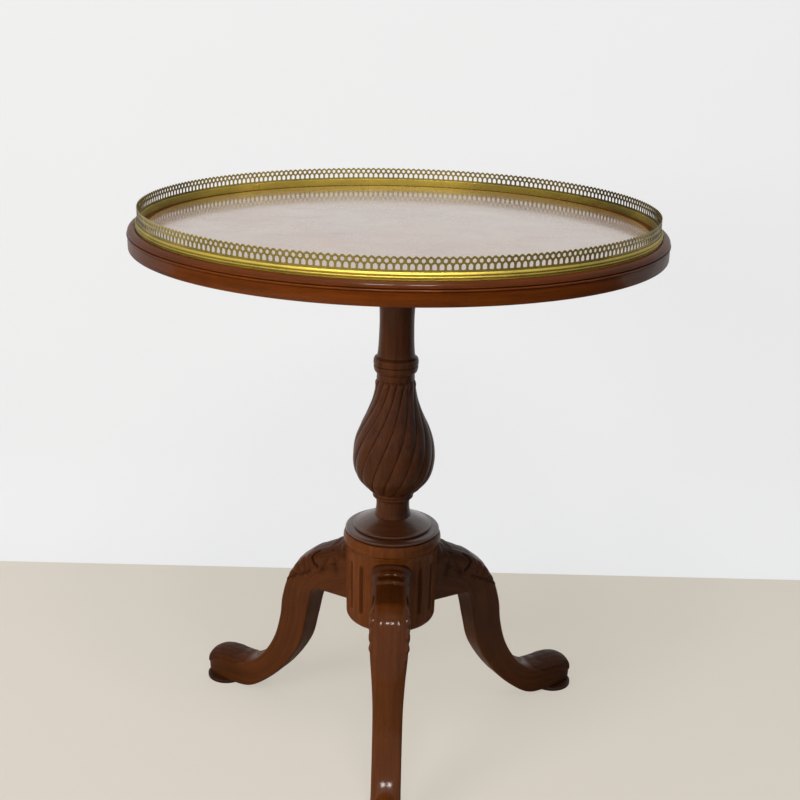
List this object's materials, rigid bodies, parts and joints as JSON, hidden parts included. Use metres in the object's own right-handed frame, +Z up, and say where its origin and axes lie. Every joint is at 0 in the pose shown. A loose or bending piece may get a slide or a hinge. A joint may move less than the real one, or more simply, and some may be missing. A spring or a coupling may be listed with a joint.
{
  "type": "tray top tea table",
  "caption": "Round tea table with a pierced brass gallery, a spiral-reeded column, a fluted drum and carved cabriole legs on round pads.",
  "frame": {"origin": "on the floor under the middle of the column", "axes": "+Z up, the front leg points along -Y"},
  "size_m": [0.6112, 0.6112, 0.69],
  "materials": {
    "top_polish": "high gloss polished mahogany",
    "mahogany": "gloss red-brown mahogany",
    "carved_mahogany": "gloss dark mahogany, turned and carved",
    "core_wood": "unpolished",
    "brass": "polished, toned at the edges",
    "steel": "plain"
  },
  "bodies": {
    "root": {"top_board": "core_wood", "top_veneer": "top_polish", "edge_moulding": "mahogany", "gallery_channel": "brass", "gallery_fret_back": "brass", "gallery_fret_left": "brass", "gallery_fret_right": "brass", "gallery_rivets": "brass", "gallery_studs": "brass", "top_block": "core_wood", "top_block_screws": "steel", "column": "carved_mahogany", "column_wedge": "core_wood", "collar": "carved_mahogany", "hub_drum": "mahogany", "leg_front": "carved_mahogany", "leg_back_left": "carved_mahogany", "leg_back_right": "carved_mahogany", "brace_plate": "steel", "brace_screws": "steel"}
  },
  "joints": []
}
